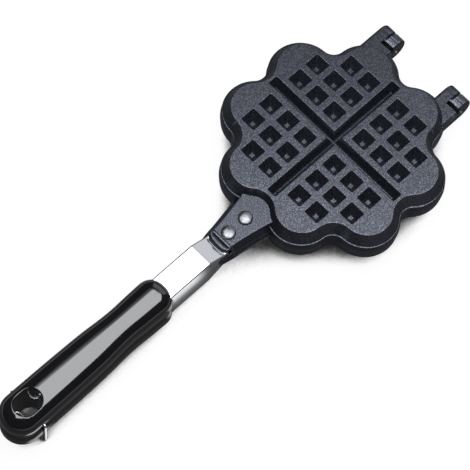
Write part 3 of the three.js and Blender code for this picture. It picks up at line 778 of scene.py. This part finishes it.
def edges(tree, low, high):
    """Share of edge wear from the mesh's own convexity; on the coat it also paints edge highlights."""
    geometry = add(tree, "ShaderNodeNewGeometry")
    return ramp(tree, geometry.outputs["Pointiness"], [(low, 0.0), (high, 1.0)])


def parts_of(tree, coordinate):
    """X, Y and Z of one of the object's own coordinates."""
    made = add(tree, "ShaderNodeSeparateXYZ")
    tree.links.new(add(tree, "ShaderNodeTexCoord").outputs[coordinate], made.inputs[0])
    return made.outputs


def coat_material():
    """Dark coat with metallic flecks, lighter along its edges but not on its level faces: partly edge
    wear, partly a painted edge highlight.
    """
    made, tree, shader = material("coat", Specular_IOR_Level=0.62, Specular_Tint=(0.84, 0.89, 1.0, 1))
    grain = noise(tree, 1700, 3, 0.65)
    flecks = ramp(tree, noise(tree, 1250, 2, 0.6), [(0.46, 0.0), (0.6, 1.0)])
    speckle = ramp(tree, grain, [(0.38, (0.003, 0.0034, 0.0045)), (0.62, (0.014, 0.015, 0.019))])
    glint = ramp(tree, grain, [(0.36, (0.075, 0.08, 0.1)), (0.64, (0.17, 0.18, 0.22))])
    tint = ramp(tree, noise(tree, 45, 3), [(0.3, (0.84, 0.84, 0.87)), (0.7, (1.0, 1.0, 1.0))])
    dull, bright = (mixed(tree, 1.0, tone, tint, "MULTIPLY") for tone in (speckle, glint))
    upright = calc(tree, "ABSOLUTE", parts_of(tree, "Normal")["Z"])
    turned = ramp(tree, upright, [(0.96, 1.0), (0.995, 0.0)])
    # Lighter edges on the coat: partly wear, partly painted highlight
    wear_and_highlight = calc(tree, "MULTIPLY", edges(tree, 0.53, 0.6), turned)
    worn = mixed(tree, wear_and_highlight, mixed(tree, flecks, dull, bright), (0.26, 0.27, 0.31, 1))
    tree.links.new(calc(tree, "MAXIMUM", flecks, wear_and_highlight), shader.inputs["Metallic"])
    rough = ramp(tree, grain, [(0.35, 0.26), (0.65, 0.17)])
    dress(tree, shader, worn, rough, grain, strength=0.4, distance=0.04 * MM)
    return made


def chrome_material():
    made, tree, shader = material("chrome", Metallic=1.0)
    brush = noise(tree, 60, 4, 0.6, (1, 40, 40))
    tone = ramp(tree, brush, [(0.3, (0.86, 0.865, 0.885)), (0.7, (0.93, 0.935, 0.95))])
    rough = ramp(tree, brush, [(0.3, 0.05), (0.7, 0.13)])
    dress(tree, shader, tone, rough, noise(tree, 400, 2), strength=0.04, distance=0.02 * MM)
    return made


def rivet_material():
    made, tree, shader = material("rivet_metal", Metallic=1.0)
    dents = noise(tree, 420, 2)
    tone = ramp(tree, dents, [(0.3, (0.2, 0.205, 0.22)), (0.7, (0.36, 0.365, 0.385))])
    rough = ramp(tree, noise(tree, 900, 3), [(0.3, 0.26), (0.7, 0.4)])
    dress(tree, shader, tone, rough, dents, strength=0.5, distance=0.3 * MM)
    return made


def grip_material():
    polish = {"Specular_IOR_Level": 1.0, "Coat_Weight": 0.8, "Coat_Roughness": 0.04}
    made, tree, shader = material("grip_plastic", Metallic=0.0, **polish)
    flow = noise(tree, 30, 4, 0.6, (1, 4, 4))
    tone = ramp(tree, flow, [(0.3, (0.0035, 0.0035, 0.0045)), (0.7, (0.007, 0.007, 0.009))])
    worn = mixed(tree, edges(tree, 0.56, 0.66), tone, (0.03, 0.03, 0.034, 1))
    rough = ramp(tree, noise(tree, 700, 3), [(0.3, 0.06), (0.7, 0.13)])
    dress(tree, shader, worn, rough, noise(tree, 90, 2), strength=0.05, distance=0.12 * MM)
    return made


def steel_material():
    made, tree, shader = material("steel", Metallic=1.0)
    brush = noise(tree, 500, 3, 0.6, (1, 1, 6))
    tone = ramp(tree, brush, [(0.3, (0.72, 0.725, 0.74)), (0.7, (0.86, 0.865, 0.88))])
    rough = ramp(tree, brush, [(0.3, 0.16), (0.7, 0.28)])
    dress(tree, shader, tone, rough, brush, strength=0.1, distance=0.02 * MM)
    return made


LOOKS = {
    "coated_casting": coat_material(),
    "chrome": chrome_material(),
    "rivet": rivet_material(),
    "grip": grip_material(),
    "steel": steel_material(),
}
SLOT_OF = {row["node"]: row["material_slot"] for row in frame["record"]["subparts"]}
for name, shown in nodes.items():
    shown.data.materials.clear()
    shown.data.materials.append(LOOKS[SLOT_OF[name]])

# Pieces
plate, shank = plate_mesh(), shank_mesh()
grips = {"upper": grip_mesh(seats=True), "lower": grip_mesh(seats=False)}
rivet, screw, pin = rivet_mesh(), screw_mesh(), pin_mesh()
for side, place in PLACE.items():
    body = f"{side}_half"
    piece(f"{side}_plate", plate, body, place)
    piece(f"{side}_shank", shank, body, place)
    piece(f"{side}_grip", grips[side], body, place, angle=40)
    for i, x in enumerate(RIVETS):
        piece(f"{side}_rivet_{i + 1}", rivet, body, place @ Matrix.Translation((x, 0, 0)))
    piece(f"{side}_grip_screw", screw, body, place @ Matrix.Translation((SCREW_X, 0, 0)))
for i, y in enumerate((-EAR_CENTRE, EAR_CENTRE)):
    along = PLACE["upper"] @ Matrix.Translation((HINGE_X, y, 0)) @ Matrix.Rotation(math.pi / 2, 4, "X")
    piece(f"hinge_pin_{i + 1}", pin, "lower_half", along)
piece("locking_bail", bail_mesh(), "bail", PLACE["upper"])


# Studio. The patches here are parts of the floor that shine in mirrors only: painted reflections,
# glowing though they are no lamps. Along X and along |Y| each starts, is full, fades and ends at these
# places, in metres.
FLOOR_SIZE, FLOOR_COLOUR = 6, (0.08, 0.08, 0.08, 1)
FLOOR_SEEN, FLOOR_MIRRORED, REFLECTION_PATCH_GAIN = 0.93, 0.28, 2.9
CONTACT_REACH, CONTACT_FADE = 0.05, [(0.38, 0.02), (0.49, 1.0)]
# Painted shade: mirrors see the floor dim near the middle, reaching full by these |Y| places
MIRROR_PAINTED_SHADE = [(0.12, 0.04), (0.3, 1.0)]
SHANK_REFLECTION_PATCH = ((0.014, 0.026, 0.048, 0.054), (0.0155, 0.0175, 0.05, 0.08))
BAIL_REFLECTION_PATCH = ((0.17, 0.175, 0.194, 0.199), (0.0165, 0.0185, 0.03, 0.033))


def floor_material():
    """A matt floor that glows to the camera, apart from a contact shadow, and less to mirrors and glass,
    which see painted shade on it towards the middle and two painted reflections there.
    """
    made, tree, shader = material("floor_white", Roughness=0.9, Base_Color=FLOOR_COLOUR)
    path = add(tree, "ShaderNodeLightPath").outputs
    contact = add(tree, "ShaderNodeAmbientOcclusion", samples=16, in_Distance=CONTACT_REACH)
    shaded = ramp(tree, contact.outputs["AO"], CONTACT_FADE)
    apart = parts_of(tree, "Object")
    aside = calc(tree, "ABSOLUTE", apart["Y"])
    # Painted shade in mirrors: the floor dims towards the middle along |Y|
    painted_mirror_light = ramp(tree, aside, MIRROR_PAINTED_SHADE)
    # Painted reflections: two patches of floor that glow in mirrors only, though they are no lamps
    for along, across in (SHANK_REFLECTION_PATCH, BAIL_REFLECTION_PATCH):
        spans = ((apart["X"], along), (aside, across))
        reflection_patch = [ramp(tree, value, list(zip(places, (0.0, 1.0, 1.0, 0.0)))) for value, places in spans]
        painted_mirror_light = calc(tree, "ADD", painted_mirror_light, calc(tree, "MULTIPLY", calc(tree, "MULTIPLY", *reflection_patch), REFLECTION_PATCH_GAIN))
    seen = calc(tree, "MULTIPLY", calc(tree, "MULTIPLY", path["Is Camera Ray"], FLOOR_SEEN), shaded)
    other = calc(tree, "MAXIMUM", path["Is Glossy Ray"], path["Is Transmission Ray"])
    mirrored = calc(tree, "MULTIPLY", calc(tree, "MULTIPLY", other, FLOOR_MIRRORED), painted_mirror_light)
    tree.links.new(calc(tree, "ADD", seen, mirrored), shader.inputs["Emission Strength"])
    shader.inputs["Emission Color"].default_value = (1, 1, 1, 1)
    return made


bpy.ops.mesh.primitive_plane_add(size=FLOOR_SIZE, location=(0, 0, 0))
floor = bpy.context.object
floor.name = "floor"
floor.data.materials.append(floor_material())

world = bpy.data.worlds.new("studio")
bpy.context.scene.world = world
world.use_nodes = True
sky = world.node_tree.nodes["Background"]
sky.inputs["Color"].default_value = (0.95, 0.97, 1.0, 1)
sky.inputs["Strength"].default_value = 0.04


def softbox(name, place, aim, width, height, radiance, colour, turn=0.0):
    """A rectangular lamp of that radiance, aimed at a point."""
    lamp = bpy.data.lights.new(name, "AREA")
    lamp.shape = "RECTANGLE"
    lamp.size, lamp.size_y = width, height
    lamp.energy = radiance * math.pi * width * height
    lamp.color = colour
    made = linked(name, lamp)
    away = Vector(place) - Vector(aim)
    made.location = place
    made.rotation_mode = "QUATERNION"
    twist = Matrix.Rotation(turn, 4, "Z").to_quaternion()
    made.rotation_quaternion = away.to_track_quat("Z", "Y") @ twist


# One large box overhead, turned by 45 degrees and made of strips that fade towards its far edge. Each is
# (far edge, near edge, radiance), measured along the diagonal.
STRIPS = (
    (-0.5, 0.6, 3.8),
    (-0.59, -0.5, 2.7),
    (-0.68, -0.59, 1.7),
    (-0.78, -0.68, 0.8),
    (-1.02, -0.78, 0.35),
)
BOX_HEIGHT, BOX_WIDTH, BOX_SHIFT, BOX_TURN = 1.3, 1.4, 0.1, math.radians(45)
BOX_COLOUR = (0.96, 0.975, 1.0)
for i, (far, near, radiance) in enumerate(STRIPS):
    middle = (far + near) / 2
    above = ((middle - BOX_SHIFT) / math.sqrt(2), (middle + BOX_SHIFT) / math.sqrt(2), BOX_HEIGHT)
    below = (*above[:2], 0)
    softbox(f"overhead_{i + 1}", above, below, near - far, BOX_WIDTH, radiance, BOX_COLOUR, BOX_TURN)
# A dim lamp on the far side
FAR_PLACE, FAR_AIM, FAR_COLOUR = (-1.1, -0.3, 0.62), (0.0, 0.0, 0.04), (0.93, 0.93, 1.0)
softbox("far_card", FAR_PLACE, FAR_AIM, width=1.2, height=0.85, radiance=0.62, colour=FAR_COLOUR)

# Camera, solved from the photograph's waffle grid
CAMERA_PLACE = (0.53027, 0.42962, 1.61486)
RIGHT = (-0.717803, 0.693949, 0.056513)
UP = (-0.622709, -0.676177, 0.393722)
BACK = (0.311436, 0.247424, 0.917491)
SENSOR, FOCAL_PIXELS, PHOTO_PIXELS = 36, 2518.67, 470
lens = bpy.data.cameras.new("camera")
lens.sensor_width = SENSOR
lens.lens = FOCAL_PIXELS / PHOTO_PIXELS * SENSOR
camera = linked("camera", lens)
camera.matrix_world = Matrix.Translation(CAMERA_PLACE) @ Matrix((RIGHT, UP, BACK)).transposed().to_4x4()
bpy.context.scene.camera = camera
bpy.context.scene.view_settings.view_transform = "Standard"
